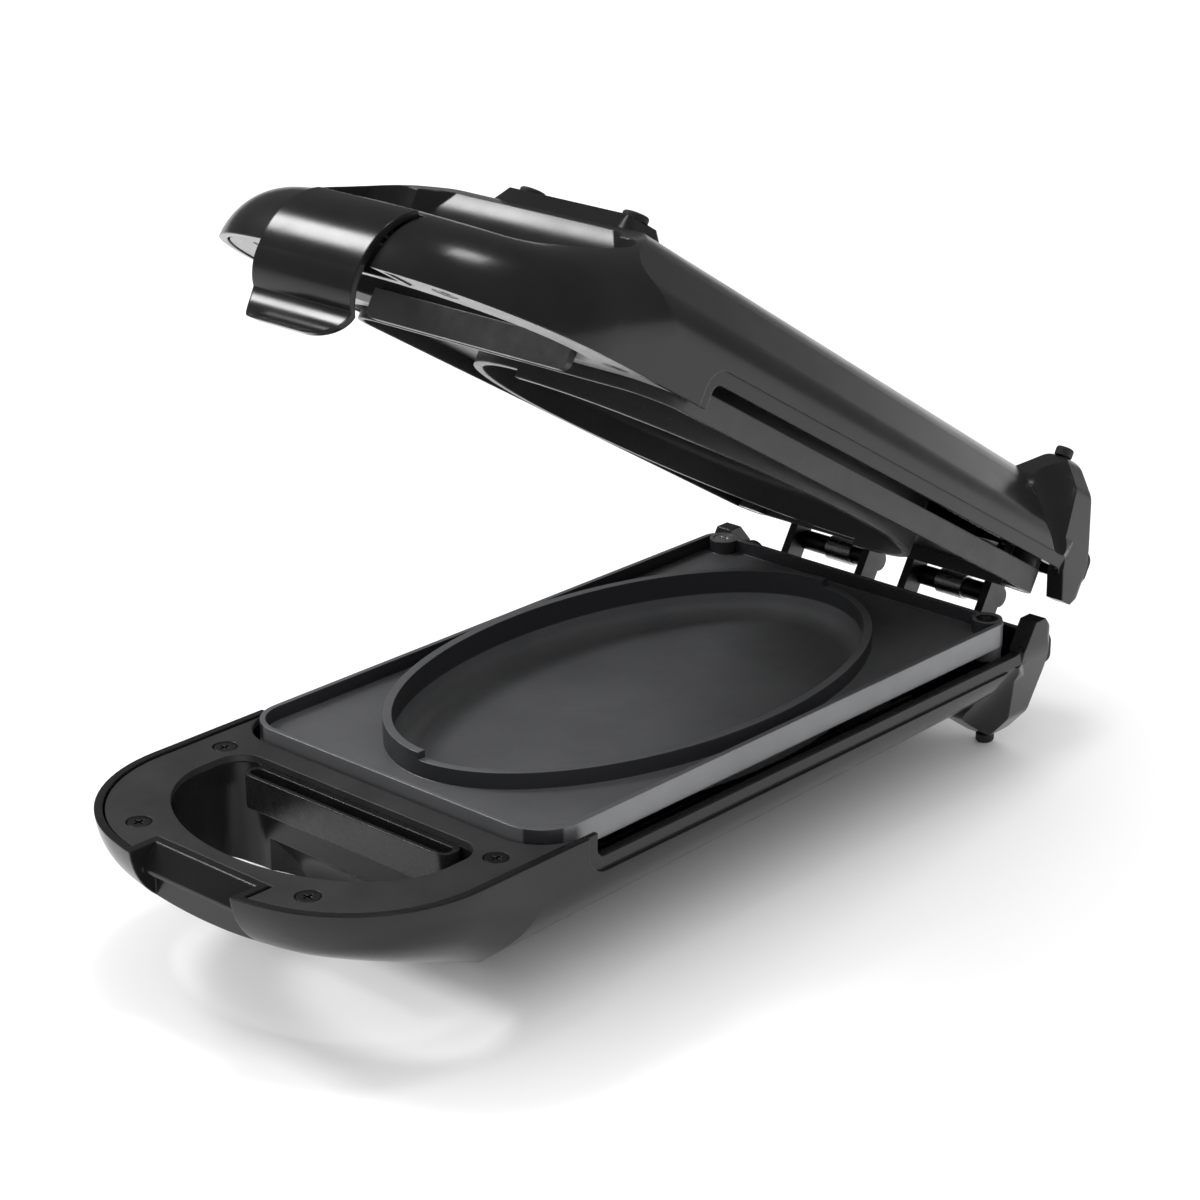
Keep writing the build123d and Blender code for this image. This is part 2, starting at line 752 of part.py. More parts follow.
def cord_bush():
    # The grommet that holds the cord where it enters the base.
    bush = Pos(0, body_rear_y, bush_z) * Rot(90, 0, 0) * Cylinder(bush_r, 4 * wall)
    cone = Cone(bush_flange_r, bush_tip_r, bush_length)
    sleeve = Pos(0, body_rear_y + bush_length / 2, bush_z) * Rot(-90, 0, 0) * cone
    inner = Pos(0, body_rear_y - wall - 1.0, bush_z) * Rot(90, 0, 0) * Cylinder(bush_flange_r, 1.8)
    bore = Pos(0, body_rear_y, bush_z) * Rot(90, 0, 0) * Cylinder(bush_bore_r, 60)
    return bush + sleeve + inner - bore


def front_feet():
    feet = []
    for x in (-foot_x, foot_x):
        foot = z_rod(foot_r, x, foot_y, -stand_depth, -platform_depth)
        edge = foot.edges().filter_by_position(Axis.Z, -stand_depth - fit, -stand_depth + fit)
        feet.append(fillet(edge, foot_edge_r))
    return group(feet)


def pad(width, length, height):
    # A rubber pad with its seat at the origin, rising along Z.
    solid = extrude(RectangleRounded(width, length, min(width, length) / 2 - fit), amount=height)
    edge = solid.edges().filter_by_position(Axis.Z, height - fit / 2, height + fit / 2)
    return fillet(edge, pad_edge_r)


def horn_pads():
    solid = Rot(180, 0, 0) * pad(horn_pad_width, horn_pad_length, stand_depth - horn_depth)
    y = body_rear_y - horn_pad_back
    return group([Pos(x, y, -horn_depth) * solid for x in (-horn_pad_x, horn_pad_x)])


def rest_pads():
    solid = Rot(-90, 0, 0) * pad(rest_pad_width, rest_pad_height, rest_pad_thickness)
    x = body_half_width - rest_pad_inset
    return group([Pos(side * x, body_rear_y, rest_pad_z) * solid for side in (-1, 1)])


def barrel_place():
    rest_angle = atan2(barrel_rise, barrel_back) + radians(lid_rest_angle)
    radius = sqrt(barrel_rise ** 2 + barrel_back ** 2)
    return pivot_y + radius * cos(rest_angle), gap - pivot_z - radius * sin(rest_angle)


def hinge_sleeves():
    barrel_y, barrel_z = barrel_place()
    right = x_rod(sleeve_r, sleeve_low_x, sleeve_high_x, barrel_y, barrel_z)
    right -= x_rod(barrel_r + pin_fit, -reach, reach, barrel_y, barrel_z)
    return group([right, right.mirror(Plane.YZ)])


def hinge_arms():
    # In the lid's own half frame, where the pin lies beyond the parting plane.
    pin_z = gap - pivot_z
    barrel_y, barrel_z = barrel_place()
    foot_top = -arm_foot_depth
    foot_bottom = foot_top - arm_foot_thickness
    right = box(arm_inner_x, arm_outer_x, pivot_y - arm_foot_length / 2, pivot_y + arm_foot_length / 2,
                foot_bottom, foot_top)
    for low in (arm_inner_x, arm_outer_x - arm_thickness):
        high = low + arm_thickness
        right += box(low, high, pivot_y - arm_width / 2, pivot_y + arm_width / 2, foot_bottom, pin_z)
        right += x_rod(eye_r, low, high, pivot_y, pin_z)
    right += x_rod(barrel_r, arm_inner_x, arm_outer_x, barrel_y, barrel_z)
    right -= x_rod(pin_r + pin_fit, -reach, reach, pivot_y, pin_z)
    for x, y in arm_screw_xy:
        right -= z_rod(screw_shank_r + pin_fit, x, y, -reach, foot_top + fit)
    return group([right, right.mirror(Plane.YZ)])


def base_brackets():
    low = arm_inner_x + arm_thickness + bracket_gap
    high = arm_outer_x - arm_thickness - bracket_gap
    right = box(low, high, pivot_y - bracket_half_length, pivot_y + bracket_half_length,
                bracket_foot_z, bracket_foot_z + bracket_thickness)
    for start in (low, high - bracket_thickness):
        end = start + bracket_thickness
        right += box(start, end, pivot_y - eye_r, pivot_y + eye_r, bracket_foot_z, pivot_z)
        right += x_rod(eye_r, start, end, pivot_y, pivot_z)
    right -= x_rod(pin_r + pin_fit, -reach, reach, pivot_y, pivot_z)
    for x, y in arm_screw_xy:
        right -= z_rod(screw_shank_r + pin_fit, x, y, -reach, bracket_foot_z + bracket_thickness + fit)
    return group([right, right.mirror(Plane.YZ)])


def bracket_screws():
    head_z = bracket_foot_z + bracket_thickness + screw_head_height
    return screws_at([(x, y, head_z) for x, y in arm_screw_xy], bracket_screw_length)


def arm_screws():
    return screws_at([(x, y, screw_head_height - arm_foot_depth) for x, y in arm_screw_xy])


def hinge_pins():
    right = x_rod(pin_r, arm_inner_x - pin_overhang, arm_outer_x + pin_overhang, pivot_y, pivot_z)
    return group([right, right.mirror(Plane.YZ)])


def latch_cover():
    centre_y = handle_front_y + handle_round
    centre_z = handle_round - handle_depth
    outer_r = handle_round + cover_proud
    inner_r = outer_r - cover_thickness
    outer_front = (centre_y - outer_r, centre_z)
    inner_front = (centre_y - inner_r, centre_z)
    fold_inner = (cover_fold_y + cover_thickness, cover_fold_reach + cover_thickness / 3)
    tip_inner = (tongue_y + cover_thickness / 2, tongue_reach + cover_thickness * 0.85)
    outer_arc = CenterArc((centre_y, centre_z), outer_r, 180, cover_top_angle)
    inner_arc = CenterArc((centre_y, centre_z), inner_r, 180, cover_top_angle)
    lines = outer_arc + Line(outer_arc @ 1, inner_arc @ 1) + inner_arc
    mid = ((outer_front[0] + cover_fold_y) / 2 - tongue_sag, (outer_front[1] + cover_fold_reach) / 2)
    lines += ThreePointArc(outer_front, mid, (cover_fold_y, cover_fold_reach))
    lines += ThreePointArc(inner_front, (mid[0] + cover_thickness, mid[1]), fold_inner)
    sag = ((cover_fold_y + tongue_y) / 2 + tongue_sag, (cover_fold_reach + tongue_reach) / 2 + tongue_sag)
    lines += ThreePointArc((cover_fold_y, cover_fold_reach), sag, (tongue_y, tongue_reach))
    sag_inner = (sag[0] + cover_thickness * 0.7, sag[1] + cover_thickness * 0.7)
    lines += ThreePointArc(fold_inner, sag_inner, tip_inner)
    lines += Line((tongue_y, tongue_reach), tip_inner)
    sheet = yz_prism(make_face(lines), -cover_half_width, cover_half_width)
    lobe = [(-cover_half_width, -reach), (cover_half_width, -reach), (cover_half_width, tongue_reach),
            (-cover_half_width, tongue_reach)]
    sheet &= xz_prism(rounded(lobe, [0, 0, tongue_round, tongue_round]), -reach, reach)
    hook_end = hook_reach + hook_height
    hook = box(-hook_half_width, hook_half_width, hook_root_y, hook_tip_y, hook_reach, hook_end)
    cheek_low = latch_lug_x + latch_lug_width + latch_cheek_gap
    cheek = x_rod(latch_eye_r, cheek_low, cheek_low + latch_cheek_width, latch_pin_y, -latch_pin_depth)
    cheek += box(cheek_low, cheek_low + latch_cheek_width, centre_y - inner_r - fit, latch_pin_y,
                 -latch_pin_depth - latch_eye_r, -latch_pin_depth + latch_eye_r)
    cheek &= x_rod(inner_r + cover_thickness / 2, 0, reach, centre_y, centre_z)
    cover = sheet + hook + both_sides(cheek)
    return cover - x_rod(latch_pin_r + pin_fit, -reach, reach, latch_pin_y, -latch_pin_depth)


def latch_pin():
    end = latch_lug_x + latch_lug_width + latch_cheek_gap + latch_cheek_width + fit
    return x_rod(latch_pin_r, -end, end, latch_pin_y, -latch_pin_depth)


def latch_spring():
    half = latch_lug_x - 0.5
    coil = x_rod(spring_r, -half, half, latch_pin_y, -latch_pin_depth)
    return coil - x_rod(latch_pin_r + fit, -reach, reach, latch_pin_y, -latch_pin_depth)


def channel():
    # Its rear wall is thick enough to sit against the wall of the grip hole.
    half = channel_half_length
    top, bottom = -channel_top, -channel_top - channel_depth
    end_r = channel_width / 2 - fit
    front = channel_y - channel_width / 2
    outer_face = Pos(0, (front + grip_rear_y) / 2) * RectangleRounded(2 * half, grip_rear_y - front, end_r)
    outer = xy_prism(outer_face, bottom, top)
    inner_width = channel_width - 2 * channel_wall
    inside = RectangleRounded(2 * (half - channel_wall), inner_width, end_r - channel_wall)
    return outer - xy_prism(Pos(0, channel_y) * inside, bottom + channel_wall, reach)


def shield_bar():
    rear = grip_rear_y - fit
    bar = box(-bar_half_length, bar_half_length, rear - bar_thickness, rear, -bar_top, bar_reach)
    edges = bar.edges().filter_by(Axis.Y).filter_by_position(Axis.Z, bar_reach - fit, bar_reach + fit)
    return fillet(edges, bar_foot)


def lid_pose(shape):
    # Mirror in the parting plane, then open about the hinge pin.
    closed = Pos(0, 0, gap) * shape.mirror(Plane.XY)
    return closed.rotate(Axis((0, pivot_y, pivot_z), (-1, 0, 0)), lid_rest_angle)


def pieces():
    handle_screw_z = plate_top - recess_depth + screw_head_height
    plate_screws = screws_at([(x, y, handle_screw_z) for x, y in handle_screw_xy])
    tray_screws = screws_at([(x, y, -fit) for x, y in boss_xy], tray_screw_length)
    base = {
        "base_thermostat": thermostat(),
        "base_terminal_block": terminal_block(),
        "base_grip_channel": channel(),
        "cord_inlet_bush": cord_bush(),
        "base_hinge_brackets": base_brackets(),
        "base_bracket_screws": bracket_screws(),
        "hinge_pins": hinge_pins(),
    }
    lid = {
        "lid_hinge_arms": hinge_arms(),
        "lid_arm_screws": arm_screws(),
        "hinge_sleeves": hinge_sleeves(),
        "lid_shield_bar": shield_bar(),
        "latch_cover": latch_cover(),
        "latch_pin": latch_pin(),
        "latch_spring": latch_spring(),
    }
    for prefix, half, is_lid in (("base", base, False), ("lid", lid, True)):
        half[f"{prefix}_housing"] = housing(is_lid)
        half[f"{prefix}_handle_plate"] = handle_plate(is_lid)
        half[f"{prefix}_handle_screws"] = plate_screws
        half[f"{prefix}_tray"] = tray(1 if is_lid else -1)
        half[f"{prefix}_tray_screws"] = tray_screws
        half[f"{prefix}_heating_element"] = heater()
        half[f"{prefix}_element_clamps"] = heater_clamps()
        half[f"{prefix}_reflector"] = reflector()
        half[f"{prefix}_thermal_fuse"] = thermal_fuse()
        half[f"{prefix}_wiring"] = wiring(not is_lid)
        half[f"{prefix}_front_feet"] = front_feet()
        half[f"{prefix}_horn_pads"] = horn_pads()
        half[f"{prefix}_rest_pads"] = rest_pads()
    return base | {name: lid_pose(shape) for name, shape in lid.items()}


def main():
    os.makedirs("parts", exist_ok=True)
    placed = pieces()
    whole = group(placed.values()).bounding_box()
    to_origin = Pos(0, -whole.center().Y, -whole.min.Z)
    for name, shape in placed.items():
        export_step(to_origin * shape, f"parts/{name}.step")


main()
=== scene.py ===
import bpy
import json
from math import radians, sin, cos
from mathutils import Matrix, Vector

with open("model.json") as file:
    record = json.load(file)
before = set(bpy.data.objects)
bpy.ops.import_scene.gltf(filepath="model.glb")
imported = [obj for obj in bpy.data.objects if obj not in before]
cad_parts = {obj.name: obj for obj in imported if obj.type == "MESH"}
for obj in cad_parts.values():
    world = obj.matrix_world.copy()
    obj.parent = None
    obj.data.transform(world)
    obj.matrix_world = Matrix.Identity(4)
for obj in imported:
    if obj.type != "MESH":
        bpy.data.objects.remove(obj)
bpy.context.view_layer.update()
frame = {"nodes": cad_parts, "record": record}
nodes = frame["nodes"]
print("frame loaded")

view = {
    "azimuth": 42.22,            # degrees round the object, from the handle's side
    "elevation": 21.42,
    "place": (0.6436, -0.7157136, 0.4586),
    "lens": 97.19,
    "sensor": 36,
    "nearest": 0.05,
    "farthest": 20,
}


def addCamera():
    az, el = radians(view["azimuth"]), radians(view["elevation"])
    back = Vector((sin(az) * cos(el), -cos(az) * cos(el), sin(el)))
    right = Vector((cos(az), sin(az), 0))
    up = back.cross(right)
    turn = Matrix((right, up, back)).transposed().to_4x4()
    data = bpy.data.cameras.new("photoCamera")
    data.lens = view["lens"]
    data.sensor_width = view["sensor"]
    data.clip_start, data.clip_end = view["nearest"], view["farthest"]
    camera = bpy.data.objects.new("photoCamera", data)
    camera.matrix_world = Matrix.Translation(view["place"]) @ turn
    bpy.context.collection.objects.link(camera)
    bpy.context.scene.camera = camera


addCamera()
print("camera placed")


class Mixer:
    # Keeps one material's nodes and links together.
    def __init__(self, name):
        self.material = bpy.data.materials.new(name)
        self.material.use_nodes = True
        self.tree = self.material.node_tree
        self.shader = self.tree.nodes["Principled BSDF"]
        self.coordinates = self.add("ShaderNodeTexCoord")
        self.place = self.coordinates.outputs["Object"]

    def add(self, kind, **values):
        node = self.tree.nodes.new(kind)
        for key, value in values.items():
            setattr(node, key, value)
        return node

    def link(self, source, target):
        self.tree.links.new(source, target)

    def math(self, operation, first, second=None, number=0.0):
        node = self.add("ShaderNodeMath", operation=operation)
        self.link(first, node.inputs[0])
        if second:
            self.link(second, node.inputs[1])
        else:
            node.inputs[1].default_value = number
        return node.outputs[0]

    def distance(self, value, middle=0.0):
        return self.math("ABSOLUTE", self.math("SUBTRACT", value, number=middle))

    def stretched(self, scale, turn=(0, 0, 0)):
        mapping = self.add("ShaderNodeMapping")
        mapping.inputs["Scale"].default_value = scale
        mapping.inputs["Rotation"].default_value = turn
        self.link(self.place, mapping.inputs["Vector"])
        return mapping.outputs["Vector"]

    def noise(self, scale, detail=4.0, roughness=0.55, vector=None):
        node = self.add("ShaderNodeTexNoise")
        node.inputs["Scale"].default_value = scale
        node.inputs["Detail"].default_value = detail
        node.inputs["Roughness"].default_value = roughness
        self.link(vector or self.place, node.inputs["Vector"])
        return node.outputs["Fac"]

    def waves(self, pitch, direction, vector=None):
        node = self.add("ShaderNodeTexWave", wave_type="BANDS", bands_direction=direction)
        node.inputs["Scale"].default_value = pitch
        self.link(vector or self.place, node.inputs["Vector"])
        return node.outputs["Fac"]

    def spread(self, value, low, high, start=0.3, end=0.7):
        node = self.add("ShaderNodeMapRange")
        node.inputs["From Min"].default_value = start
        node.inputs["From Max"].default_value = end
        node.inputs["To Min"].default_value = low
        node.inputs["To Max"].default_value = high
        self.link(value, node.inputs["Value"])
        return node.outputs["Result"]

    def blendColors(self, value, first, second):
        node = self.add("ShaderNodeMix", data_type="RGBA")
        self.link(value, node.inputs["Factor"])
        for socket, colour in (("A", first), ("B", second)):
            target = [s for s in node.inputs if s.name == socket and s.type == "RGBA"][0]
            if hasattr(colour, "is_linked"):
                self.link(colour, target)
            else:
                target.default_value = (*colour, 1)
        return [s for s in node.outputs if s.type == "RGBA"][0]

    def cloudy(self, values, detail):
        # The slow change between a finish's deep and pale colours.
        cloud = self.noise(values["cloudScale"], detail)
        return self.blendColors(self.spread(cloud, 0, 1), values["deep"], values["pale"])

    def bump(self, height, strength, distance, edge=None):
        node = self.add("ShaderNodeBump")
        node.inputs["Strength"].default_value = strength
        node.inputs["Distance"].default_value = distance
        self.link(height, node.inputs["Height"])
        if edge:
            bevel = self.add("ShaderNodeBevel", samples=6)
            bevel.inputs["Radius"].default_value = edge
            self.link(bevel.outputs["Normal"], node.inputs["Normal"])
        return node.outputs["Normal"]

    def finish(self, colour, roughness, normal, **sockets):
        self.link(colour, self.shader.inputs["Base Color"])
        self.link(roughness, self.shader.inputs["Roughness"])
        self.link(normal, self.shader.inputs["Normal"])
        for key, value in sockets.items():
            self.shader.inputs[key].default_value = value
        return self.material


glossPlastic = {
    "deep": (0.0085, 0.0085, 0.009),
    "pale": (0.012, 0.012, 0.0125),
    "cloudScale": 38,
    "smooth": 0.2,
    "worn": 0.26,
    "wearScale": 45,
    "grainScale": 1400,
    "grainStrength": 0.05,
    "grainDepth": 0.0001,
    "edge": 0.0008,
    "refraction": 1.4,
}

latchPlastic = {
    **glossPlastic,
    "smooth": 0.17,
    "worn": 0.25,
}


def makeGlossPlastic(name, values):
    m = Mixer(name)
    wear = m.noise(values["wearScale"], 4, 0.6)
    rough = m.spread(wear, values["smooth"], values["worn"], 0.35, 0.75)
    grain = m.noise(values["grainScale"], 2, 0.6)
    normal = m.bump(grain, values["grainStrength"], values["grainDepth"], values["edge"])
    return m.finish(m.cloudy(values, 3), rough, normal, IOR=values["refraction"])


satinPlastic = {
    "deep": (0.024, 0.024, 0.025),
    "pale": (0.034, 0.034, 0.035),
    "cloudScale": 60,
    "smooth": 0.3,
    "worn": 0.4,
    "wearScale": 240,
    "pebbleScale": 1100,
    "pebbleStrength": 0.1,
    "pebbleDepth": 0.00012,
    "edge": 0.0005,
}

# Painted reflection: the lid's handle plate is the same dark satin plastic as the base's, coloured
# pale grey to stand in for the bright floor reflected in it.
lidPlatePaintedFloorReflection = {
    **satinPlastic,
    # pale grey painted reflection of the floor, not the plate's own colour
    "deep": (0.22, 0.22, 0.222),
    "pale": (0.27, 0.27, 0.272),
    "smooth": 0.32,
    "worn": 0.42,
    "pebbleStrength": 0.05,
}

channelPlastic = {
    **satinPlastic,
    "deep": (0.008, 0.008, 0.0085),
    "pale": (0.013, 0.013, 0.0135),
    "smooth": 0.22,
    "worn": 0.32,
    "pebbleStrength": 0.015,
    "edge": 0.0006,
}


def makeSatinPlastic(name, values):
    m = Mixer(name)
    pebbles = m.add("ShaderNodeTexVoronoi")
    pebbles.inputs["Scale"].default_value = values["pebbleScale"]
    m.link(m.place, pebbles.inputs["Vector"])
    rough = m.spread(m.noise(values["wearScale"], 3), values["smooth"], values["worn"])
    height = pebbles.outputs["Distance"]
    normal = m.bump(height, values["pebbleStrength"], values["pebbleDepth"], values["edge"])
    return m.finish(m.cloudy(values, 4), rough, normal)


coatedMetal = {
    "deep": (0.185, 0.187, 0.195),
    "pale": (0.23, 0.232, 0.242),
    "cloudScale": 26,
    "fleck": (0.3, 0.3, 0.31),
    "fleckScale": 2600,
    "fleckShare": 0.5,
    "fleckFrom": 0.66,
    "fleckTo": 0.74,
    "smooth": 0.3,
    "worn": 0.42,
    "wearScale": 180,
    "castScale": 900,
    "castStrength": 0.1,
    "castDepth": 0.00015,
    "edge": 0.0006,
    "metallic": 0.6,
}

# Painted shade: the base tray's upright walls inside its rim are coloured darker than its floor,
# standing in for the shade on them.
trayWallPaintedShade = {
    # colour of the painted shade on the walls
    "color": (0.05, 0.051, 0.056),
    "middleY": 0.0125,
    "halfX": 0.0643,
    "halfY": 0.1138,
    "floorZ": 0.0487,
    "fade": 0.0003,
    "uprightFrom": 0.5,          # the normal's Z where a face stops being a wall
    "uprightTo": 0.8,
}

lidTrayMetal = {
    **coatedMetal,
    "deep": (0.022, 0.022, 0.023),
    "pale": (0.034, 0.034, 0.035),
    "fleck": (0.1, 0.1, 0.1),
    "edge": 0.0007,
    "metallic": 0.3,
}


def wallPaintedShadeMask(m, walls):
    # Where the painted wall shade goes: 1 on the upright faces inside the rim, 0 on flats and on the
    # outer skirt.
    facing = m.add("ShaderNodeSeparateXYZ")
    m.link(m.coordinates.outputs["Normal"], facing.inputs[0])
    spot = m.add("ShaderNodeSeparateXYZ")
    m.link(m.place, spot.inputs[0])
    fade, halfX, halfY, floorZ = (walls[key] for key in ("fade", "halfX", "halfY", "floorZ"))
    upright = m.distance(facing.outputs["Z"])
    mask = m.spread(upright, 1, 0, walls["uprightFrom"], walls["uprightTo"])
    for step in (
        (m.distance(spot.outputs["X"]), 1, 0, halfX - fade, halfX),
        (m.distance(spot.outputs["Y"], walls["middleY"]), 1, 0, halfY - fade, halfY),
        (spot.outputs["Z"], 0, 1, floorZ, floorZ + 2 * fade),
    ):
        mask = m.math("MULTIPLY", mask, m.spread(*step))
    return mask


def makeCoatedMetal(name, values, walls=None):
    m = Mixer(name)
    specks = m.noise(values["fleckScale"], 1, 0.5)
    flecks = m.spread(specks, 0, values["fleckShare"], values["fleckFrom"], values["fleckTo"])
    colour = m.blendColors(flecks, m.cloudy(values, 4), values["fleck"])
    if walls:
        # painted shade on the tray's inner walls
        colour = m.blendColors(wallPaintedShadeMask(m, walls), colour, walls["color"])
    rough = m.spread(m.noise(values["wearScale"], 5, 0.65), values["smooth"], values["worn"])
    cast = m.noise(values["castScale"], 3, 0.6)
    normal = m.bump(cast, values["castStrength"], values["castDepth"], values["edge"])
    return m.finish(colour, rough, normal, Metallic=values["metallic"])


steelSurface = {
    "cloudScale": 70,
    "streakScale": 40,
    "streakStrength": 0.12,
    "streakDepth": 0.0001,
    "edge": 0.0003,
}

screwSteel = {
    **steelSurface,
    "deep": (0.07, 0.07, 0.072),
    "pale": (0.11, 0.11, 0.112),
    "smooth": 0.3,
    "worn": 0.45,
    "stretch": (30, 30, 30),
}

platedSteel = {
    **steelSurface,
    "deep": (0.5, 0.5, 0.5),
    "pale": (0.62, 0.62, 0.61),
    "smooth": 0.22,
    "worn": 0.36,
    "stretch": (4, 60, 60),
}

sheetSteel = {
    **steelSurface,
    "deep": (0.45, 0.45, 0.44),
    "pale": (0.58, 0.58, 0.57),
    "smooth": 0.28,
    "worn": 0.42,
    "stretch": (60, 3, 60),
}

hingeSteel = {
    **steelSurface,
    "deep": (0.05, 0.05, 0.052),
    "pale": (0.085, 0.085, 0.087),
    "smooth": 0.3,
    "worn": 0.46,
    "stretch": (4, 50, 50),
}


def makeSteel(name, values):
    m = Mixer(name)
    streaks = m.noise(values["streakScale"], 6, 0.7, m.stretched(values["stretch"]))
    rough = m.spread(streaks, values["smooth"], values["worn"])
    normal = m.bump(streaks, values["streakStrength"], values["streakDepth"], values["edge"])
    return m.finish(m.cloudy(values, 3), rough, normal, Metallic=1.0)


softRubber = {
    "deep": (0.008, 0.008, 0.008),
    "pale": (0.016, 0.016, 0.016),
    "cloudScale": 120,
    "smooth": 0.55,
    "worn": 0.75,
    "wearScale": 500,
    "grainScale": 1500,
    "grainStrength": 0.2,
    "grainDepth": 0.0001,
    "edge": 0.0004,
}


def makeRubber(name, values):
    m = Mixer(name)
    rough = m.spread(m.noise(values["wearScale"], 3), values["smooth"], values["worn"])
    grain = m.noise(values["grainScale"], 3, 0.6)
    normal = m.bump(grain, values["grainStrength"], values["grainDepth"], values["edge"])
    return m.finish(m.cloudy(values, 4), rough, normal)


ceramicBody = {
    "deep": (0.6, 0.57, 0.5),
    "pale": (0.74, 0.71, 0.64),
    "cloudScale": 220,
    "smooth": 0.4,
    "worn": 0.6,
    "wearScale": 400,
    "grainScale": 900,
    "grainStrength": 0.2,
    "grainDepth": 0.0002,
}


def makeCeramic(name, values):
    m = Mixer(name)
    rough = m.spread(m.noise(values["wearScale"], 3), values["smooth"], values["worn"])
    grain = m.noise(values["grainScale"], 4)
    normal = m.bump(grain, values["grainStrength"], values["grainDepth"])
    return m.finish(m.cloudy(values, 5), rough, normal)


wireBraid = {
    "deep": (0.45, 0.42, 0.34),
    "pale": (0.72, 0.69, 0.6),
    "pitch": 900,
    "slant": 0.785,              # radians each way from the wire's run
    "smooth": 0.6,
    "worn": 0.8,
    "wearScale": 300,
    "strandStrength": 0.5,
    "strandDepth": 0.0003,
}


def makeBraid(name, values):
    m = Mixer(name)
    strands = []
    for turn in (values["slant"], -values["slant"]):
        slanted = m.stretched((1, 1, 1), (turn, 0, turn))
        strands.append(m.waves(values["pitch"], "DIAGONAL", slanted))
    weave = m.math("MAXIMUM", *strands)
    colour = m.blendColors(weave, values["deep"], values["pale"])
    rough = m.spread(m.noise(values["wearScale"]), values["smooth"], values["worn"])
    normal = m.bump(weave, values["strandStrength"], values["strandDepth"])
    return m.finish(colour, rough, normal)


# Painted shade and highlight: the coil bands are painted into the wire's colour, deep between the
# turns as painted shade and pale along the turns as painted highlight.
springWirePaintedCoilLight = {
    "deep": (0.3, 0.3, 0.3),
    "pale": (0.62, 0.62, 0.6),
    "pitch": 330,
    "smooth": 0.25,
    "worn": 0.4,
    "wearScale": 300,
    "coilStrength": 0.9,
    "coilDepth": 0.0006,
}


def makeSpringWire(name, values):
    m = Mixer(name)
    coils = m.waves(values["pitch"], "X")
    # painted shade between the coil turns, painted highlight along them
    colour = m.blendColors(coils, values["deep"], values["pale"])
    rough = m.spread(m.noise(values["wearScale"]), values["smooth"], values["worn"])
    normal = m.bump(coils, values["coilStrength"], values["coilDepth"])
    return m.finish(colour, rough, normal, Metallic=1.0)


slotFinishes = {
    "housing_plastic": makeGlossPlastic("housingGloss", glossPlastic),
    "latch_plastic": makeGlossPlastic("latchGloss", latchPlastic),
    "handle_plastic": makeSatinPlastic("handleSatin", satinPlastic),
    # the base tray's coating, with painted shade on its inner walls
    "non_stick_metal": makeCoatedMetal("trayCoatingPaintedWallShade", coatedMetal, trayWallPaintedShade),
    "dark_screw_steel": makeSteel("darkScrewSteel", screwSteel),
    "bright_steel": makeSteel("brightSteel", platedSteel),
    "sheet_steel": makeSteel("sheetSteel", sheetSteel),
    "hinge_steel": makeSteel("hingeSteel", hingeSteel),
    "foot_rubber": makeRubber("footRubber", softRubber),
    "heat_proof_ceramic": makeCeramic("ceramicBody", ceramicBody),
    "wire_sleeve": makeBraid("wireBraid", wireBraid),
}

nodeFinishes = {
    "latch_spring": makeSpringWire("springWirePaintedCoilLight", springWirePaintedCoilLight),
    "lid_tray": makeCoatedMetal("lidTrayCoating", lidTrayMetal),
    "lid_handle_plate": makeSatinPlastic("lidPlateSatinPaintedReflection", lidPlatePaintedFloorReflection),
    "base_grip_channel": makeSatinPlastic("channelSatin", channelPlastic),
}


def dressNodes():
    slots = {part["node"]: part["material_slot"] for part in frame["record"]["subparts"]}
    for name, node in nodes.items():
        node.data.materials.clear()
        node.data.materials.append(nodeFinishes.get(name, slotFinishes[slots[name]]))


dressNodes()
print("finishes set")

studioFloor = {
    "size": 20.0,
    "color": (0.9, 0.9, 0.9),
    "smooth": 0.68,
    "worn": 0.74,
    "wearScale": 3,
}


def addFloor():
    bpy.ops.object.select_all(action="DESELECT")
    bpy.ops.mesh.primitive_plane_add(size=studioFloor["size"], location=(0, 0, 0))
    floor = bpy.context.object
    floor.name = "studioFloor"
    m = Mixer("paleFloor")
    rough = m.spread(m.noise(studioFloor["wearScale"], 2), studioFloor["smooth"], studioFloor["worn"])
    m.link(rough, m.shader.inputs["Roughness"])
    m.shader.inputs["Base Color"].default_value = (*studioFloor["color"], 1)
    floor.data.materials.append(m.material)


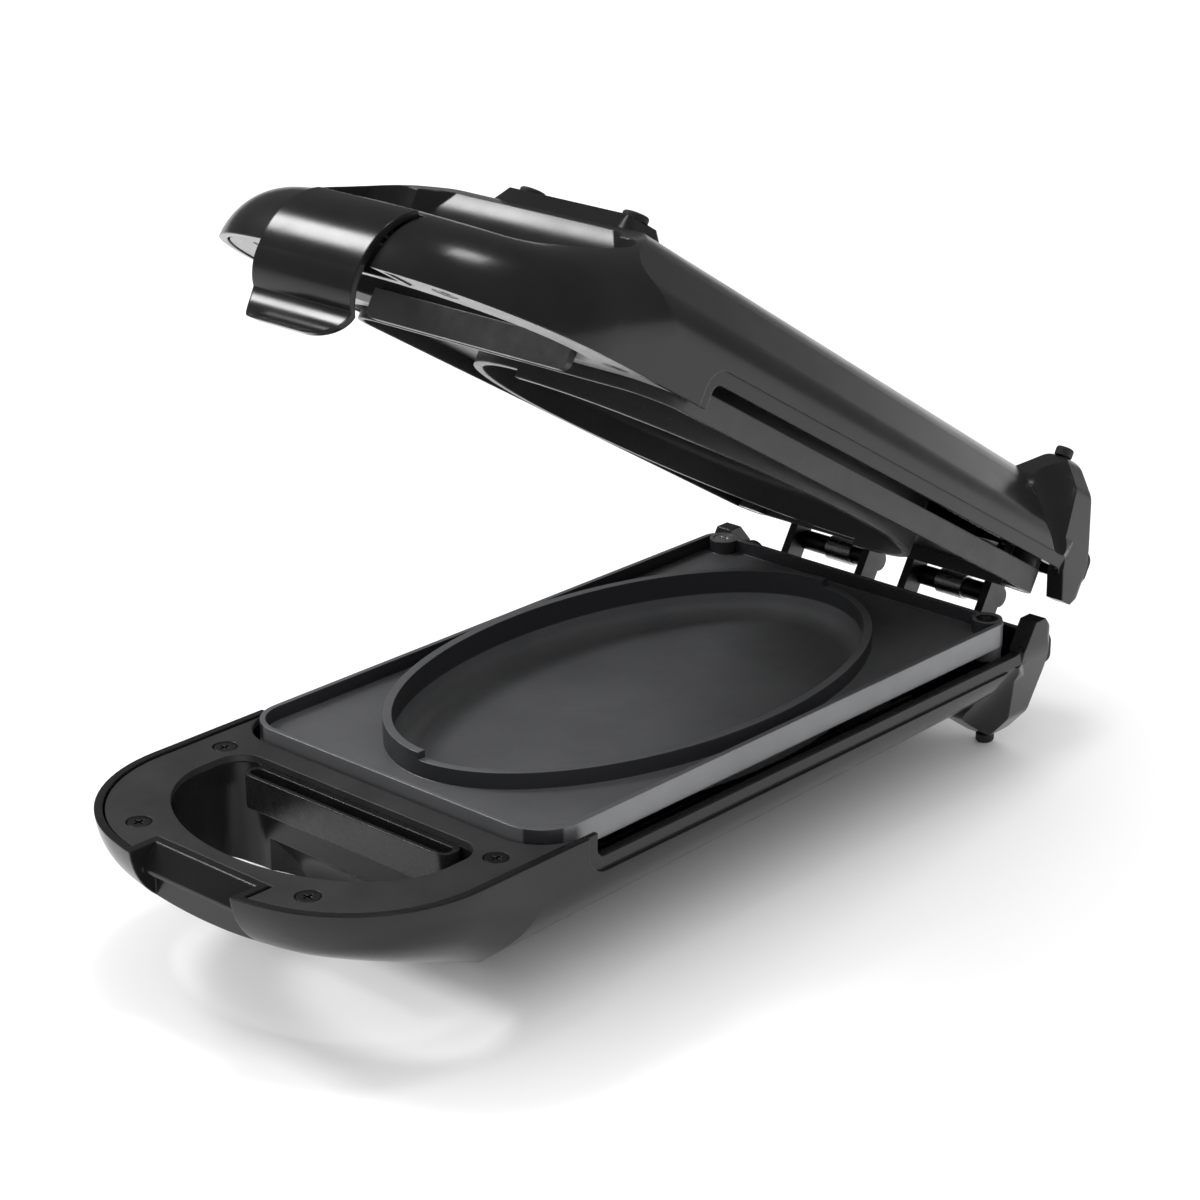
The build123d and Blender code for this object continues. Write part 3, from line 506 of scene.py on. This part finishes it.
surroundings = {
    "ambient": 1.16,             # light on matt surfaces
    "mirrored": 0.13,            # dimmer surroundings seen in the gloss
    "backdrop": 1.0,             # what the camera sees behind the object
}


def addWorld():
    world = bpy.data.worlds.new("studioWorld")
    world.use_nodes = True
    tree = world.node_tree
    tree.nodes.remove(tree.nodes["Background"])

    def glow(strength):
        node = tree.nodes.new("ShaderNodeBackground")
        node.inputs["Strength"].default_value = strength
        node.inputs["Color"].default_value = (1, 1, 1, 1)
        return node.outputs["Background"]

    path = tree.nodes.new("ShaderNodeLightPath")
    seen = tree.nodes.new("ShaderNodeMath")
    seen.operation = "MAXIMUM"
    tree.links.new(path.outputs["Is Camera Ray"], seen.inputs[0])
    tree.links.new(path.outputs["Is Transmission Ray"], seen.inputs[1])
    shader = glow(surroundings["ambient"])
    for name, chooser in (("mirrored", path.outputs["Is Glossy Ray"]), ("backdrop", seen.outputs[0])):
        mix = tree.nodes.new("ShaderNodeMixShader")
        tree.links.new(chooser, mix.inputs["Fac"])
        tree.links.new(shader, mix.inputs[1])
        tree.links.new(glow(surroundings[name]), mix.inputs[2])
        shader = mix.outputs["Shader"]
    tree.links.new(shader, tree.nodes["World Output"].inputs["Surface"])
    bpy.context.scene.world = world


lamps = {
    "keySoftbox": {
        "place": (-0.92, -0.34, 1.13),
        "target": (0, -0.12, 0.2),
        "width": 0.36,
        "height": 0.3,
        "watts": 7.5,
    },
    "topSoftbox": {
        "place": (-0.06, 0.12, 1.5),
        "target": (0.03, -0.1, 0.2),
        "width": 0.34,
        "height": 0.3,
        "watts": 4.5,
    },
}


def addLamp(name, values):
    data = bpy.data.lights.new(name, "AREA")
    data.shape = "RECTANGLE"
    data.size, data.size_y = values["width"], values["height"]
    data.energy = values["watts"]
    lamp = bpy.data.objects.new(name, data)
    lamp.location = values["place"]
    aim = Vector(values["target"]) - Vector(values["place"])
    lamp.rotation_euler = aim.to_track_quat("-Z", "Y").to_euler()
    bpy.context.collection.objects.link(lamp)


addFloor()
addWorld()
for lampName, lampValues in lamps.items():
    addLamp(lampName, lampValues)
bpy.context.scene.view_settings.view_transform = "Standard"
print("studio lit")
